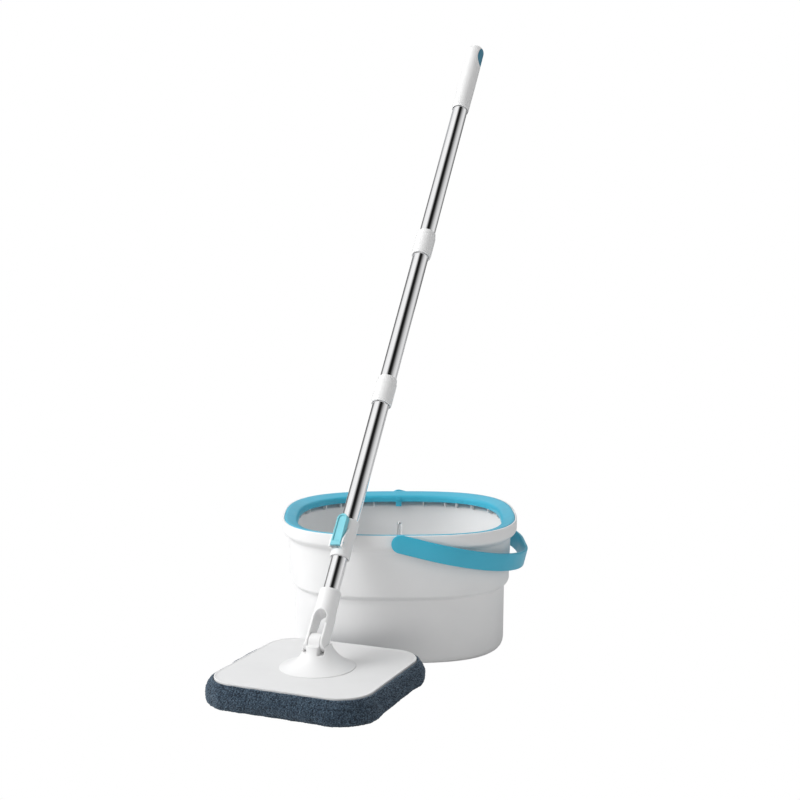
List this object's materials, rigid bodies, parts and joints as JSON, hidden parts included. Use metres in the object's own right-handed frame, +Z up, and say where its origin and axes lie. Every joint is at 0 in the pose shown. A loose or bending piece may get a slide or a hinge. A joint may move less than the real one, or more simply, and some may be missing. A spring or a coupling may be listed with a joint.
{
  "type": "spin mop with bucket",
  "caption": "Flat spin mop with a folding head and pump-action pole, leaning on its squarish bucket with a centre spindle and a swinging carrying handle.",
  "frame": {"origin": "centre of the bucket's underside, on the floor", "axes": "+Z up; +X towards the side where the carrying handle hangs; the mop stands on the -Y side and leans back over the front rim"},
  "size_m": [0.4827, 0.8466, 1.0051],
  "materials": {
    "white_shell": "satin moulded",
    "white_plate": "fine texture",
    "white_plastic": "semi-gloss moulded",
    "blue_plastic": "satin moulded",
    "lever_plastic": "semi-gloss moulded",
    "chrome_tube": "polished",
    "bright_steel": "turned",
    "microfibre": "short tufted pile"
  },
  "bodies": {
    "bucket": {"bucket_floor": "white_shell", "bucket_lower": "white_shell", "bucket_middle": "white_shell", "bucket_band": "white_shell", "rim_ring": "blue_plastic", "spindle_boss": "white_shell", "spindle_pin": "bright_steel", "spindle_nut": "bright_steel"},
    "bail": {"bail_handle": "blue_plastic", "bail_pin_front": "blue_plastic", "bail_pin_back": "blue_plastic"},
    "mop_head": {"mop_plate": "white_plate", "mop_pad": "microfibre", "spindle_socket": "white_plastic", "hub": "white_plastic", "hinge_pin": "bright_steel"},
    "yoke": {"yoke": "white_plastic", "inner_tube": "chrome_tube", "drive_nut": "white_plastic"},
    "guide_bush": {"guide_bush": "white_plastic"},
    "pole": {"tube_lower": "chrome_tube", "tube_middle": "chrome_tube", "tube_upper": "chrome_tube", "coupler_lower": "white_plastic", "coupler_upper": "white_plastic", "grip": "white_plastic", "grip_insert": "blue_plastic", "lock_housing": "white_plastic", "lever_pin": "bright_steel", "twisted_strip": "bright_steel", "strip_plug": "white_plastic"},
    "lock_lever": {"lock_lever": "lever_plastic"}
  },
  "joints": [
    {"name": "bail_swing", "type": "hinge", "parent": "bucket", "child": "bail", "pos_m": [0, 0, 0.193], "axis": [0, -1, 0], "range_deg": [0, 93]},
    {"name": "mop_lift", "type": "slide", "parent": "bucket", "child": "mop_head", "axis": [0, -0.6, 0.8], "range_m": [0, 0.3]},
    {"name": "head_fold", "type": "hinge", "parent": "mop_head", "child": "yoke", "pos_m": [-0.12, -0.3006, 0.075], "axis": [0.9317, -0.3633, 0], "range_deg": [0, 120.4]},
    {"name": "pole_pump", "type": "slide", "parent": "yoke", "child": "guide_bush", "axis": [0.2256, 0.5787, 0.7837], "range_m": [0, 0.2]},
    {"name": "pole_spin", "type": "hinge", "parent": "guide_bush", "child": "pole", "pos_m": [-0.09022, -0.22421, 0.17845], "axis": [0.2256, 0.5787, 0.7837], "range_deg": [0, 660]},
    {"name": "lever_swing", "type": "hinge", "parent": "pole", "child": "lock_lever", "pos_m": [-0.09434, -0.22618, 0.20278], "axis": [0.8681, -0.4845, 0.1079], "range_deg": [0, 75]}
  ],
  "couplings": [
    {"joint": "pole_spin", "follows": "pole_pump", "rad_per_m": 57.12}
  ]
}
